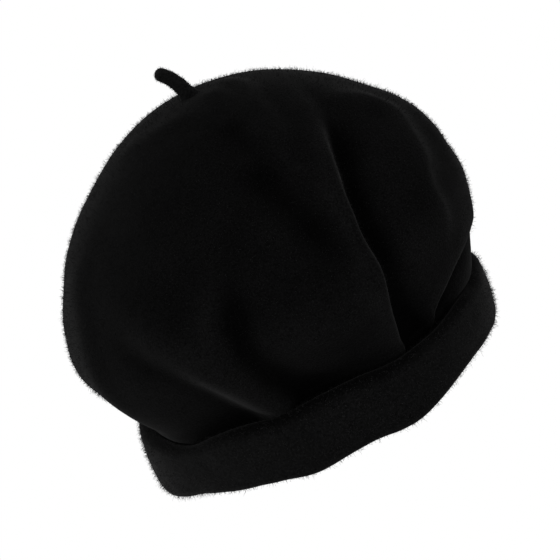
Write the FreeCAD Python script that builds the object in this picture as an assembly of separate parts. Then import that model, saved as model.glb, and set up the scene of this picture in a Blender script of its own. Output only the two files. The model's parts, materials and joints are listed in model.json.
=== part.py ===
"""Soft wool-felt beret: a full domed crown, a rolled felt cuff, a felt stalk on top, and a
ribbon sweatband with its bow, tabs and stitches inside.

Units are millimetres and +Z is up. The origin is the centre of the head opening, level with
the sweatband's lower edge. -Y is the front of the hat and +Y the back, where the sweatband's
ends meet. The stalk leans towards -X, and so does the slouch of the crown.
"""

import FreeCAD
import Part

import math
import os

Vector = FreeCAD.Vector

# ---- driving dimensions -------------------------------------------------------------------
HEAD_GIRTH = 570.0  # hat size 57
FELT = 2.5  # thickness of the fulled wool felt
RIBBON = 0.9  # thickness of the grosgrain ribbon
RIBBON_WIDTH = 25.0
CROWN_HEIGHT = 190.0  # head opening to the top of the crown
CUFF_OUTER_RADIUS = 105.5
CUFF_TOP = 35.5
STALK_LENGTH = 20.5  # along its curve, above the crown
STALK_RADIUS = 3.8
THREAD = 0.35  # radius of the sewing thread
GAP = 0.3  # between layers that only lie against each other

# ---- worked out ---------------------------------------------------------------------------
HEAD_RADIUS = HEAD_GIRTH / (2 * math.pi)
RIBBON_OUTER = HEAD_RADIUS + RIBBON
SKIRT_INNER = RIBBON_OUTER + GAP
SKIRT_OUTER = SKIRT_INNER + FELT
SKIRT_BOTTOM = 2.0  # the crown's cut edge, hidden behind the ribbon
BACK = 90.0  # degrees round from +X

# Outer shape of the crown above its skirt: height, reach towards -X, reach towards +X.
# The felt sags over the cuff on the -X side.
CROWN_SECTIONS = [
    (27.0, SKIRT_OUTER, SKIRT_OUTER),
    (34.0, SKIRT_OUTER + 0.6, SKIRT_OUTER + 0.4),
    (41.0, 105.0, 102.0),
    (50.0, 114.0, 106.8),
    (62.0, 119.6, 112.4),
    (76.0, 121.4, 118.0),
    (91.0, 119.8, 119.4),
    (106.0, 115.2, 115.6),
    (121.0, 107.6, 109.6),
    (136.0, 97.2, 100.6),
    (151.0, 83.0, 88.0),
    (165.0, 65.0, 72.0),
    (176.0, 45.5, 52.5),
    (184.0, 26.5, 32.0),
    (188.3, 13.0, 16.0),
    (CROWN_HEIGHT, 6.4, 6.4),
]


def ring_point(radius, degrees, z):
    """A point on a circle about the hat's own axis."""
    angle = math.radians(degrees)
    return Vector(radius * math.cos(angle), radius * math.sin(angle), z)


def capsule(start, end, radius):
    """A rod with rounded ends, for a stitch."""
    along = end - start
    rod = Part.makeCylinder(radius, along.Length, start, along)
    ends = [Part.makeSphere(radius, start), Part.makeSphere(radius, end)]
    return rod.multiFuse(ends).removeSplitter()


def export(name, *solids):
    """Writes one node; a group of separate solids goes in as a compound."""
    shape = solids[0] if len(solids) == 1 else Part.makeCompound(list(solids))
    shape.exportStep(f"parts/{name}.step")
    print(f"{name}: {len(shape.Solids)} solid(s), {shape.Volume / 1000:.2f} cm3, valid {shape.isValid()}")


# ---- crown --------------------------------------------------------------------------------
def offset_inward(sections, depth):
    """The same sections moved square to the surface by depth, for the felt's inner face."""
    moved = []
    last = len(sections) - 1
    for i, (z, left, right) in enumerate(sections):
        z0, left0, right0 = sections[max(i - 1, 0)]
        z1, left1, right1 = sections[min(i + 1, last)]
        rise = z1 - z0
        run = (left0 + right0 - left1 - right1) / 2
        slope = math.hypot(rise, run)
        inward = depth * rise / slope
        down = depth * run / slope
        moved.append((z - down, left - inward, right - inward))
    return moved


def dome(sections, skirt_radius, bottom):
    """A closed solid through circular sections, standing on a straight skirt."""
    skirt_steps = 4
    rise = (sections[0][0] - bottom) / skirt_steps
    circles = [(bottom + rise * k, 0.0, skirt_radius) for k in range(skirt_steps)]
    circles += [(z, (right - left) / 2, (right + left) / 2) for z, left, right in sections]
    wires = [
        Part.Wire(Part.makeCircle(radius, Vector(shift, 0, z), Vector(0, 0, 1)))
        for z, shift, radius in circles
    ]
    return Part.makeLoft(wires, True, False)


def make_crown():
    outer = dome(CROWN_SECTIONS, SKIRT_OUTER, SKIRT_BOTTOM)
    inner = dome(offset_inward(CROWN_SECTIONS, FELT), SKIRT_INNER, SKIRT_BOTTOM - 5)
    stalk_hole = Part.makeCylinder(STALK_HOLE_RADIUS, 4 * FELT, Vector(0, 0, CROWN_HEIGHT - 3 * FELT))
    return outer.cut(inner).cut(stalk_hole)


def crown_inner_radius(crown, degrees, z):
    """How far from the hat's axis the crown's inner face is, in one direction."""
    centre = Vector(0, 0, z)
    ray = Part.makeLine(centre, ring_point(2 * CUFF_OUTER_RADIUS, degrees, z))
    return min((v.Point - centre).Length for v in ray.common(crown).Vertexes)


# ---- cuff ---------------------------------------------------------------------------------
def rolled_profile(segments, thickness):
    """The cut face of a strip of felt that follows lines and arcs in the XZ plane."""
    half = thickness / 2
    sides = {+1: [], -1: []}
    ends = []
    for kind, *data in segments:
        for side in sides:
            if kind == "line":
                (x0, z0), (x1, z1) = data
                length = math.hypot(x1 - x0, z1 - z0)
                nx, nz = -(z1 - z0) / length * half * side, (x1 - x0) / length * half * side
                edge = Part.makeLine(Vector(x0 + nx, 0, z0 + nz), Vector(x1 + nx, 0, z1 + nz))
            else:
                (cx, cz), radius, start, sweep = data
                r = radius - half * side * math.copysign(1, sweep)
                at = [math.radians(start + sweep * share) for share in (0, 0.5, 1)]
                points = [Vector(cx + r * math.cos(t), 0, cz + r * math.sin(t)) for t in at]
                edge = Part.Arc(*points).toShape()
            sides[side].append(edge)
    for k in (0, -1):
        corners = [sides[s][k].Vertexes[k].Point for s in (+1, -1)]
        ends.append(Part.makeLine(*corners))
    wire = Part.Wire(Part.__sortEdges__(sides[+1] + sides[-1] + ends))
    return Part.Face(wire)


def make_cuff():
    wall = CUFF_OUTER_RADIUS - FELT / 2
    seam = (SKIRT_INNER + SKIRT_OUTER) / 2
    fold_radius = (wall - seam) / 2
    roll_radius = 3.1
    roll_centre = CUFF_TOP - roll_radius - FELT / 2
    tail = wall - 2 * roll_radius
    tail_bottom = 18.0
    face = rolled_profile(
        [
            ("arc", (seam + fold_radius, SKIRT_BOTTOM), fold_radius, 180, 180),
            ("line", (wall, SKIRT_BOTTOM), (wall, roll_centre)),
            ("arc", (wall - roll_radius, roll_centre), roll_radius, 0, 180),
            ("line", (tail, roll_centre), (tail, tail_bottom)),
        ],
        FELT,
    )
    return face.revolve(Vector(0, 0, 0), Vector(0, 0, 1), 360)


# ---- stalk --------------------------------------------------------------------------------
STALK_ROOT_RADIUS = 4.0
STALK_HOLE_RADIUS = 5.2  # clears the stalk when it is pushed right over
STALK_PIVOT = Vector(0, 0, CROWN_HEIGHT)
STALK_START_LEAN = 14.0  # degrees from upright, towards -X
STALK_END_LEAN = 48.0


def make_stalk():
    """A felt tail that curves over towards -X, on a rounded root that sits in the crown's hole."""
    turn = math.radians(STALK_END_LEAN - STALK_START_LEAN)
    length = STALK_LENGTH - STALK_RADIUS
    bend = length / turn
    start = math.radians(STALK_START_LEAN)
    centre = STALK_PIVOT + Vector(-math.cos(start), 0, -math.sin(start)) * bend

    def at(share):
        lean = start + turn * share
        return centre + Vector(math.cos(lean), 0, math.sin(lean)) * bend

    spine = Part.Wire(Part.Arc(at(0), at(0.5), at(1)).toShape())
    heading = Vector(-math.sin(start), 0, math.cos(start))
    section = Part.Wire(Part.makeCircle(STALK_RADIUS, at(0), heading))
    tail = spine.makePipeShell([section], True, True)
    tip = Part.makeSphere(STALK_RADIUS, at(1))
    root = Part.makeSphere(STALK_ROOT_RADIUS, STALK_PIVOT)
    return tail.multiFuse([tip, root])


def make_stalk_stitches():
    """Radial stitches on the crown's inner face, round the stalk's root."""
    level = CROWN_HEIGHT - FELT
    count = 8
    inner, outer = STALK_HOLE_RADIUS + 0.8, STALK_HOLE_RADIUS + 4.0
    drop = 0.5  # the crown falls away from its top by this much over a stitch
    return [
        capsule(
            ring_point(inner, 360 * k / count, level),
            ring_point(outer, 360 * k / count, level - drop),
            THREAD,
        )
        for k in range(count)
    ]


# ---- sweatband and what is sewn to it -----------------------------------------------------
def make_sweatband():
    outer = Part.makeCylinder(RIBBON_OUTER, RIBBON_WIDTH)
    return outer.cut(Part.makeCylinder(HEAD_RADIUS, RIBBON_WIDTH))


def round_stitches(radius, z, count, length):
    """A line of running stitches round the hat."""
    half = math.degrees(length / 2 / radius)
    return [
        capsule(
            ring_point(radius, 360 * k / count - half, z),
            ring_point(radius, 360 * k / count + half, z),
            THREAD,
        )
        for k in range(count)
    ]


def make_join_stitches():
    """The bar tacks that close the ribbon's two ends at the back."""
    half = math.degrees(2.2 / HEAD_RADIUS)
    return [
        capsule(
            ring_point(HEAD_RADIUS, BACK - half, z),
            ring_point(HEAD_RADIUS, BACK + half, z),
            THREAD,
        )
        for z in (6.0, 9.5, 13.0, 16.5, 20.0, 23.0)
    ]


def racetrack(inner, outer, start, end, z, height):
    """A curved bar with rounded ends, between two radii and two angles, standing on z."""
    middle, half = (inner + outer) / 2, (outer - inner) / 2
    mid_angle = (start + end) / 2
    cap = math.degrees(half / middle)
    edges = [
        Part.Arc(*[ring_point(outer, t, z) for t in (start, mid_angle, end)]).toShape(),
        Part.Arc(
            ring_point(outer, end, z), ring_point(middle, end + cap, z), ring_point(inner, end, z)
        ).toShape(),
        Part.Arc(*[ring_point(inner, t, z) for t in (end, mid_angle, start)]).toShape(),
        Part.Arc(
            ring_point(inner, start, z), ring_point(middle, start - cap, z), ring_point(outer, start, z)
        ).toShape(),
    ]
    return Part.Face(Part.Wire(edges)).extrude(Vector(0, 0, height))


BOW_RIBBON = 0.5
BOW_BOTTOM = RIBBON_WIDTH + 0.5
BOW_HEIGHT = 7.0
BOW_REACH = 11.5  # degrees each side of the back
BOW_OUTER = SKIRT_INNER - 0.1
BOW_DEPTH = 2.4
KNOT_WIDTH = 5.0


def make_bow_loops():
    """Two flattened loops of narrow ribbon, one each side of the knot."""
    loops = []
    knot_side = math.degrees((KNOT_WIDTH / 2 + BOW_DEPTH / 2 + 0.05) / BOW_OUTER)
    for side in (-1, 1):
        near, far = BACK + side * knot_side, BACK + side * BOW_REACH
        start, end = min(near, far), max(near, far)
        outside = racetrack(BOW_OUTER - BOW_DEPTH, BOW_OUTER, start, end, BOW_BOTTOM, BOW_HEIGHT)
        inside = racetrack(
            BOW_OUTER - BOW_DEPTH + BOW_RIBBON,
            BOW_OUTER - BOW_RIBBON,
            start,
            end,
            BOW_BOTTOM - 1,
            BOW_HEIGHT + 2,
        )
        loops.append(outside.cut(inside))
    return loops


def make_bow_knot():
    depth, height = BOW_DEPTH + 0.8, BOW_HEIGHT + 0.6
    corner = Vector(-KNOT_WIDTH / 2, BOW_OUTER - depth, BOW_BOTTOM - 0.3)
    block = Part.makeBox(KNOT_WIDTH, depth, height, corner)
    upright = [e for e in block.Edges if abs(e.tangentAt(e.FirstParameter).z) > 0.9]
    return block.makeFillet(1.1, upright)


SIZE_TAB_AT = 122.0  # degrees round from +X
SIZE_TAB_WIDTH = 12.0
SIZE_TAB_HEIGHT = 9.0
SIZE_TAB_THICKNESS = 0.5
SIZE_TAB_OUTER = SKIRT_INNER - 0.1


def make_size_tab():
    """A short folded tab of woven tape, caught behind the ribbon's upper edge."""
    half = math.degrees(SIZE_TAB_WIDTH / 2 / SKIRT_INNER)
    return racetrack(
        SIZE_TAB_OUTER - SIZE_TAB_THICKNESS,
        SIZE_TAB_OUTER,
        SIZE_TAB_AT - half,
        SIZE_TAB_AT + half,
        RIBBON_WIDTH + 0.3,
        SIZE_TAB_HEIGHT,
    )


def make_size_tab_stitches():
    """Two stitches that hold the tab to the felt, near its lower edge."""
    radius = SIZE_TAB_OUTER - SIZE_TAB_THICKNESS
    z = RIBBON_WIDTH + 2.3
    return [
        capsule(
            ring_point(radius, SIZE_TAB_AT + centre - 1.0, z),
            ring_point(radius, SIZE_TAB_AT + centre + 1.0, z),
            THREAD,
        )
        for centre in (-1.8, 1.8)
    ]


# ---- care label ---------------------------------------------------------------------------
LABEL_WIDTH = 30.0
LABEL_LENGTH = 22.0
LABEL_THICKNESS = 0.6
LABEL_HEM = 0.6  # radius of the rolled hem that the label turns on
LABEL_TOP = 64.0
LABEL_STANDOFF = 2.6  # hem's axis to the crown's inner face
LABEL_LEAN = 27.0  # degrees from hanging straight down, towards the hat's axis


def make_care_label(hinge):
    """A satin label that hangs from its hem and lies against the sloping felt below it."""
    low, high = Vector(-LABEL_WIDTH / 2, 0, 0), Vector(LABEL_WIDTH, 0, 0)
    hem = Part.makeCylinder(LABEL_HEM, LABEL_WIDTH, hinge + low, high)
    sheet = Part.makeBox(
        LABEL_WIDTH,
        LABEL_THICKNESS,
        LABEL_LENGTH,
        hinge + low + Vector(0, -LABEL_THICKNESS / 2, -LABEL_LENGTH),
    )
    sheet.rotate(hinge, Vector(1, 0, 0), -LABEL_LEAN)
    return hem.fuse(sheet).removeSplitter()


def make_label_stitches(crown, hinge):
    """Three stitches that stand out of the felt just above the label's hem."""
    z = hinge.z + LABEL_HEM + THREAD + GAP
    reach = LABEL_STANDOFF - 0.8  # stops short of the hem, so the label can turn right up
    stitches = []
    for x in (-11.0, 0.0, 11.0):
        degrees = math.degrees(math.atan2(hinge.y, x))
        wall = crown_inner_radius(crown, degrees, z)
        stitches.append(
            capsule(ring_point(wall + 0.8, degrees, z), ring_point(wall - reach, degrees, z), THREAD)
        )
    return stitches


# ---- hidden seams of the cuff -------------------------------------------------------------
def make_cuff_seam_stitches():
    """Overcast stitches across the butt joint between the crown's cut edge and the cuff's."""
    count = 60
    return [
        capsule(
            ring_point(SKIRT_OUTER, 360 * k / count, SKIRT_BOTTOM - 2.0),
            ring_point(SKIRT_OUTER, 360 * k / count + 1.5, SKIRT_BOTTOM + 2.5),
            THREAD,
        )
        for k in range(count)
    ]


def make_cuff_tack_stitches():
    """Short tacks that hold the cuff's rolled-in edge to the crown at four places."""
    z, spread = 24.0, 1.2
    return [
        capsule(
            ring_point(SKIRT_OUTER - 1.2, 90 * quarter + side * spread + 45, z),
            ring_point(SKIRT_OUTER + 2.4, 90 * quarter + side * spread + 45, z),
            THREAD,
        )
        for quarter in range(4)
        for side in (-1, 1)
    ]


def main():
    os.makedirs("parts", exist_ok=True)
    crown = make_crown()
    export("crown", crown)
    export("cuff", make_cuff())
    export("cuff_seam_stitches", *make_cuff_seam_stitches())
    export("cuff_tack_stitches", *make_cuff_tack_stitches())
    export("stalk", make_stalk())
    export("stalk_stitches", *make_stalk_stitches())
    export("sweatband", make_sweatband())
    export("sweatband_stitches", *round_stitches(HEAD_RADIUS, 2.5, 96, 3.6))
    export("sweatband_join_stitches", *make_join_stitches())
    export("bow_loops", *make_bow_loops())
    export("bow_knot", make_bow_knot())
    export("size_tab", make_size_tab())
    export("size_tab_stitches", *make_size_tab_stitches())
    hinge_y = crown_inner_radius(crown, BACK, LABEL_TOP) - LABEL_STANDOFF
    hinge = Vector(0, hinge_y, LABEL_TOP)
    export("care_label", make_care_label(hinge))
    export("care_label_stitches", *make_label_stitches(crown, hinge))
    print("label hinge", tuple(round(c, 3) for c in hinge))
    print("stalk pivot", tuple(round(c, 3) for c in STALK_PIVOT))


main()
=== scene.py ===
import json
import math

import bpy
import numpy as np
from mathutils import Matrix, Vector, noise


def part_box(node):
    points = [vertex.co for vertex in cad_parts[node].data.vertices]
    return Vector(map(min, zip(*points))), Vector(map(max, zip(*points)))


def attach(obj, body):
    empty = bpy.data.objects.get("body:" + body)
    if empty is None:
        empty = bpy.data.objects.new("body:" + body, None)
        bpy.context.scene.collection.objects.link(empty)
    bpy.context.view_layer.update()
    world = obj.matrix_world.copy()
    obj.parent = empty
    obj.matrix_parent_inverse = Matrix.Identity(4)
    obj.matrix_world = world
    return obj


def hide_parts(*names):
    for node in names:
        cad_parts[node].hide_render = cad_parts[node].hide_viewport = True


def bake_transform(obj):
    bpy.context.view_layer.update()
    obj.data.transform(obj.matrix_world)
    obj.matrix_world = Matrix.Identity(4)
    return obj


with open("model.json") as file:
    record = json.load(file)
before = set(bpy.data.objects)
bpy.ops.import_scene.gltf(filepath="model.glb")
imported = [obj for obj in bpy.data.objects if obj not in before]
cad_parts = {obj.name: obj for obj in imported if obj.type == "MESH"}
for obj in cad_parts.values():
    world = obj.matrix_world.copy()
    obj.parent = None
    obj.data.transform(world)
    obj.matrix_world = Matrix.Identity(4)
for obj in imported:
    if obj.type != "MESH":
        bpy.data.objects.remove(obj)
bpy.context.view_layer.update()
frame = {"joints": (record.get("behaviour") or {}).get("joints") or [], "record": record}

# The looks of a black felt beret: crown, cuff, stalk, ribbon sweatband, bow, labels and stitches.
# Lengths are millimetres here and metres in Blender, in the CAD frame. +Z is up, -Y is the front.
# An azimuth is in degrees about the hat's axis: 0 is +X, -90 the front, 90 the back and 180 is -X.
# "Left" and "right" of a fold are as seen from outside the hat, so right is the way azimuths grow.

MM = 0.001
FELT = 2.5
# between the ribbon and the felt behind it
GAP = 0.3


def node_box(node):
    """The lowest and highest corners of a CAD node, in millimetres."""
    low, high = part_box(node)
    return low / MM, high / MM


def joint_place(name):
    """Where a joint's axis passes, in millimetres."""
    return next(Vector(j["pos_m"]) / MM for j in frame["joints"] if j["name"] == name)


CROWN_LOW, CROWN_HIGH = node_box("crown")
CUFF_HIGH = node_box("cuff")[1]
BAND_LOW, BAND_HIGH = node_box("sweatband")
STALK_PIVOT = joint_place("stalk_bend")
LABEL_PIVOT = joint_place("care_label_flip")
HEAD_RADIUS = frame["record"]["mounts"][0]["dims"]["r_mm"]
RIBBON = BAND_HIGH.x - HEAD_RADIUS
# the outer radius of the crown's felt below the cuff's rim
SKIRT_OUTER = BAND_HIGH.x + GAP + FELT


# -------- curves and meshes


def smoothstep(value, low, high):
    """0 below low and 1 above high, with a soft start and end."""
    t = np.clip((value - low) / (high - low), 0, 1)
    return t * t * (3 - 2 * t)


def spline(points, steps):
    """A Catmull-Rom curve through the points, with this many steps between two of them."""
    points = np.array(points, float)
    padded = np.vstack([2 * points[0] - points[1], points, 2 * points[-1] - points[-2]])
    curve = []
    for before, start, end, after in zip(padded, padded[1:], padded[2:], padded[3:]):
        for t in np.arange(steps) / steps:
            slope = end - before
            bend = 2 * before - 5 * start + 4 * end - after
            twist = 3 * start - before - 3 * end + after
            curve.append(0.5 * (2 * start + slope * t + bend * t**2 + twist * t**3))
    return np.array(curve + [points[-1]])


def resample(curve, count):
    """The same curve as evenly spaced points."""
    steps = np.linalg.norm(np.diff(curve, axis=0), axis=1)
    length = np.concatenate([[0], np.cumsum(steps)])
    wanted = np.linspace(0, length[-1], count)
    return np.stack([np.interp(wanted, length, column) for column in curve.T], axis=1)


def around(pairs, softness=4):
    """A smooth function of azimuth that runs close to the (azimuth, value) pairs."""
    degrees = np.arange(-180, 180)
    angles, values = zip(*sorted(pairs))
    raw = np.interp(degrees, angles, values, period=360)
    offsets = np.arange(-3 * softness, 3 * softness + 1)
    weights = np.exp(-0.5 * (offsets / softness) ** 2)
    soft = sum(w * np.roll(raw, o) for w, o in zip(weights, offsets)) / weights.sum()
    return lambda azimuth: np.interp(azimuth, degrees, soft, period=360)


def ripple(points, size, seed):
    """Smooth noise from about -1 to 1 at each point, with swells of this size."""
    shift = Vector((seed * 7.3, seed * 3.1, seed * 5.7))
    flat = points.reshape(-1, 3) / size
    values = [noise.noise(Vector(p) + shift) for p in flat]
    return np.array(values).reshape(points.shape[:-1])


def swells(points, kinds):
    """The sum of several ripples, each a (height, size, seed)."""
    return sum(height * ripple(points, size, seed) for height, size, seed in kinds)


def unit(vectors):
    """The same vectors, each of length 1."""
    return vectors / np.maximum(np.linalg.norm(vectors, axis=-1, keepdims=True), 1e-9)


def grid_normals(grid):
    """Unit normals of a grid whose columns go round the hat; they point out of it."""
    round_hat = np.roll(grid, -1, axis=1) - np.roll(grid, 1, axis=1)
    return unit(np.cross(round_hat, np.gradient(grid, axis=0)))


def grid_faces(rows, columns, first=0, flip=False, closed=True):
    """Quads of a grid, by default closed round its columns."""
    across = columns if closed else columns - 1
    row, column = np.meshgrid(np.arange(rows - 1), np.arange(across), indexing="ij")
    here = first + row * columns + column
    beside = first + row * columns + (column + 1) % columns
    quads = [here, beside, beside + columns, here + columns]
    if flip:
        quads.reverse()
    return np.stack(quads, axis=-1).reshape(-1, 4).tolist()


def rim_faces(columns, outer_start, inner_start, flip=False):
    """Quads that join two rings of vertices."""
    faces = []
    for i in range(columns):
        j = (i + 1) % columns
        quad = [outer_start + i, inner_start + i, inner_start + j, outer_start + j]
        faces.append(quad[::-1] if flip else quad)
    return faces


def make_object(name, points, faces, material):
    """A smooth mesh from points in millimetres."""
    mesh = bpy.data.meshes.new(name)
    mesh.from_pydata((np.asarray(points) * MM).tolist(), [], faces)
    mesh.update()
    mesh.polygons.foreach_set("use_smooth", [True] * len(mesh.polygons))
    mesh.materials.append(material)
    thing = bpy.data.objects.new(name, mesh)
    bpy.context.scene.collection.objects.link(thing)
    return thing


def sheet_object(name, outer, inner, material, closed_top=False):
    """A closed sheet between two grids; closed_top ends each grid in one vertex at its top."""
    rows, columns = outer.shape[:2]
    count = rows * columns
    points = np.concatenate([outer.reshape(-1, 3), inner.reshape(-1, 3)])
    faces = grid_faces(rows, columns) + grid_faces(rows, columns, count, flip=True)
    faces += rim_faces(columns, 0, count)
    top, inner_top = count - columns, 2 * count - columns
    if closed_top:
        peaks = [outer[-1].mean(axis=0), inner[-1].mean(axis=0)]
        points = np.concatenate([points, peaks])
        for i in range(columns):
            j = (i + 1) % columns
            faces.append([top + i, top + j, 2 * count])
            faces.append([inner_top + j, inner_top + i, 2 * count + 1])
    else:
        faces += rim_faces(columns, top, inner_top, flip=True)
    return make_object(name, points, faces, material)


def tube_object(name, tubes, material):
    """One mesh of several closed tubes, each an array of rings."""
    points = np.concatenate([rings.reshape(-1, 3) for rings in tubes])
    faces = []
    first = 0
    for rings in tubes:
        count, sides = rings.shape[:2]
        faces += grid_faces(count, sides, first)
        faces.append([first + i for i in reversed(range(sides))])
        faces.append([first + (count - 1) * sides + i for i in range(sides)])
        first += count * sides
    return make_object(name, points, faces, material)


def tube_rings(centres, radii, sides, lobes=0, depth=0.0, twist=0.0):
    """Rings round a curve. With lobes, each ring is ridged by depth and the ridges twist."""
    centres = np.array(centres, float)
    ahead = unit(np.gradient(centres, axis=0))
    level = np.array([0.0, 1.0, 0.0]) if abs(ahead[0][1]) < 0.9 else np.array([0.0, 0.0, 1.0])
    across = unit(np.cross(np.cross(ahead, level), ahead))
    upward = np.cross(ahead, across)
    angle = np.arange(sides) * 2 * math.pi / sides
    turn = twist * np.linspace(0, 1, len(centres))[:, None]
    ridge = 1 + depth * np.cos(lobes * angle[None, :] - turn)
    reach = np.asarray(radii, float).reshape(-1, 1) * ridge
    cosine, sine = np.cos(angle)[None, :, None], np.sin(angle)[None, :, None]
    rings = across[:, None] * cosine + upward[:, None] * sine
    return centres[:, None] + rings * reach[..., None]


def panel_object(name, grid, thickness, material):
    """A closed panel of this thickness on an open grid of points."""
    normals = unit(np.cross(np.gradient(grid, axis=1), np.gradient(grid, axis=0)))
    front, back = grid + normals * thickness / 2, grid - normals * thickness / 2
    rows, columns = grid.shape[:2]
    count = rows * columns
    faces = grid_faces(rows, columns, closed=False)
    faces += grid_faces(rows, columns, count, flip=True, closed=False)
    index = np.arange(count).reshape(rows, columns)
    sides = [index[0], index[1:, -1], index[-1, -2::-1], index[-2:0:-1, 0]]
    edge = np.concatenate(sides).tolist()
    for a, b in zip(edge, edge[1:] + edge[:1]):
        faces.append([a, count + a, count + b, b])
    points = np.concatenate([front.reshape(-1, 3), back.reshape(-1, 3)])
    return make_object(name, points, faces, material)


def place(azimuth, radius, height):
    """Points at these azimuths in degrees, radii and heights."""
    azimuth, radius, height = np.broadcast_arrays(np.radians(azimuth), radius, height)
    return np.stack([radius * np.cos(azimuth), radius * np.sin(azimuth), height], axis=-1)


# -------- materials

# the mesh attribute of painted light on crests and painted shade in hollows and tucks
PAINTED_LIGHT_AND_SHADE_ATTRIBUTE = "painted_light_and_shade"
# painted sheen, lighter where the felt is seen edge-on: (how edge-on the felt is seen, the share of its
# colour that shows there)
PAINTED_EDGE_SHEEN = [(0.0, 0.18), (0.55, 0.18), (0.8, 0.28), (0.92, 0.52), (1.0, 0.86)]


class Nodes:
    """Short calls for building one material's node tree."""

    def __init__(self, name):
        self.material = bpy.data.materials.new(name)
        self.material.use_nodes = True
        self.tree = self.material.node_tree
        self.shader = self.tree.nodes["Principled BSDF"]
        self.place = self.tree.nodes.new("ShaderNodeTexCoord").outputs["Object"]

    def link(self, source, node, socket):
        """Joins an output to a node's named input."""
        self.tree.links.new(source, node.inputs[socket])

    def noise(self, per_metre, detail=3.0, stretch=(1, 1, 1), distortion=0.0):
        """Noise with this many swells to the metre, as a factor from 0 to 1."""
        mapping = self.tree.nodes.new("ShaderNodeMapping")
        mapping.inputs["Scale"].default_value = stretch
        self.link(self.place, mapping, "Vector")
        texture = self.tree.nodes.new("ShaderNodeTexNoise")
        texture.inputs["Scale"].default_value = per_metre
        texture.inputs["Detail"].default_value = detail
        texture.inputs["Distortion"].default_value = distortion
        self.link(mapping.outputs["Vector"], texture, "Vector")
        return texture.outputs["Fac"]

    def ramp(self, factor, stops):
        """A grey or coloured ramp through (position, colour) stops."""
        ramp = self.tree.nodes.new("ShaderNodeValToRGB")
        ramp.color_ramp.elements[0].position = stops[0][0]
        ramp.color_ramp.elements[1].position = stops[-1][0]
        for position, _ in stops[1:-1]:
            ramp.color_ramp.elements.new(position)
        for element, (_, colour) in zip(ramp.color_ramp.elements, stops):
            element.color = (*colour, 1)
        self.link(factor, ramp, "Fac")
        return ramp.outputs["Color"]

    def multiply(self, first, second):
        """The product of two colours."""
        mix = self.tree.nodes.new("ShaderNodeMix")
        mix.data_type = "RGBA"
        mix.blend_type = "MULTIPLY"
        mix.inputs["Factor"].default_value = 1
        # by number, as the sockets for colours share their names with those for numbers
        self.tree.links.new(first, mix.inputs[6])
        self.tree.links.new(second, mix.inputs[7])
        return mix.outputs[2]

    def painted_light_and_shade_factor(self):
        """1 on plain felt, more on crests as painted light, and less in hollows and tucks as painted
        shade.
        """
        attribute = self.tree.nodes.new("ShaderNodeAttribute")
        attribute.attribute_name = PAINTED_LIGHT_AND_SHADE_ATTRIBUTE
        add = self.tree.nodes.new("ShaderNodeMath")
        add.operation = "ADD"
        add.inputs[1].default_value = 1
        self.link(attribute.outputs["Fac"], add, 0)
        return add.outputs["Value"]

    def bump(self, height, distance, strength, below=None):
        """A bump of this real depth in metres, on top of another bump."""
        bump = self.tree.nodes.new("ShaderNodeBump")
        bump.inputs["Distance"].default_value = distance
        bump.inputs["Strength"].default_value = strength
        self.link(height, bump, "Height")
        if below:
            self.link(below, bump, "Normal")
        return bump.outputs["Normal"]

    def finish(self, **values):
        """Sets the shader's own values and gives the material."""
        for socket, value in values.items():
            self.shader.inputs[socket.replace("_", " ")].default_value = value
        return self.material


def felt(name, grey, grain, sheen):
    """Fulled wool: matt, mottled, with a short nap that catches light at a glancing angle; its colour also
    carries a painted sheen towards the outline and painted light and shade on crests, hollows and tucks.
    """
    nodes = Nodes(name)
    mottle = nodes.noise(grain, detail=4)
    glancing = nodes.tree.nodes.new("ShaderNodeLayerWeight").outputs["Facing"]
    # painted sheen: the colour grows lighter where the felt is seen edge-on
    painted_sheen = nodes.ramp(glancing, [(at, (share,) * 3) for at, share in PAINTED_EDGE_SHEEN])
    clouds = nodes.noise(45, detail=2)
    fibres = nodes.noise(grain * 1.6, detail=2, stretch=(1, 1, 0.25), distortion=1.5)
    light = (1.6 * grey, 1.6 * grey, 1.63 * grey)
    colour = nodes.ramp(mottle, [(0.3, (0.5 * grey,) * 3), (0.7, light)])
    shade = nodes.ramp(clouds, [(0.3, (0.86,) * 3), (0.7, (1.0,) * 3)])
    streak = nodes.ramp(fibres, [(0.35, (0.85,) * 3), (0.65, (1.0,) * 3)])
    wool = nodes.multiply(nodes.multiply(colour, shade), streak)
    # the colour is multiplied by the painted sheen and by the painted light and shade of crests, hollows
    # and tucks
    nodes.link(nodes.multiply(nodes.multiply(wool, painted_sheen), nodes.painted_light_and_shade_factor()), nodes.shader, "Base Color")
    low = nodes.bump(mottle, 0.0006, 0.6)
    nodes.link(nodes.bump(fibres, 0.0003, 0.35, low), nodes.shader, "Normal")
    return nodes.finish(
        Roughness=1.0,
        Specular_IOR_Level=0.0,
        Sheen_Weight=sheen,
        Sheen_Roughness=0.4,
    )


def ribbed_ribbon(name, grey, ribs_per_metre, gloss):
    """Grosgrain or satin ribbon: fine threads with a soft sheen."""
    nodes = Nodes(name)
    weave = nodes.noise(ribs_per_metre, detail=2, stretch=(1, 1, 0.15))
    fuzz = nodes.noise(260, detail=3)
    light = (grey * 1.5, grey * 1.5, grey * 1.6)
    colour = nodes.ramp(weave, [(0.3, (grey * 0.6,) * 3), (0.7, light)])
    shade = nodes.ramp(fuzz, [(0.3, (0.8,) * 3), (0.7, (1.0,) * 3)])
    nodes.link(nodes.multiply(colour, shade), nodes.shader, "Base Color")
    nodes.link(nodes.bump(weave, 0.0002, 0.5), nodes.shader, "Normal")
    return nodes.finish(
        Roughness=0.55,
        Specular_IOR_Level=gloss,
        Sheen_Weight=0.06,
        Sheen_Roughness=0.35,
    )


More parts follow.
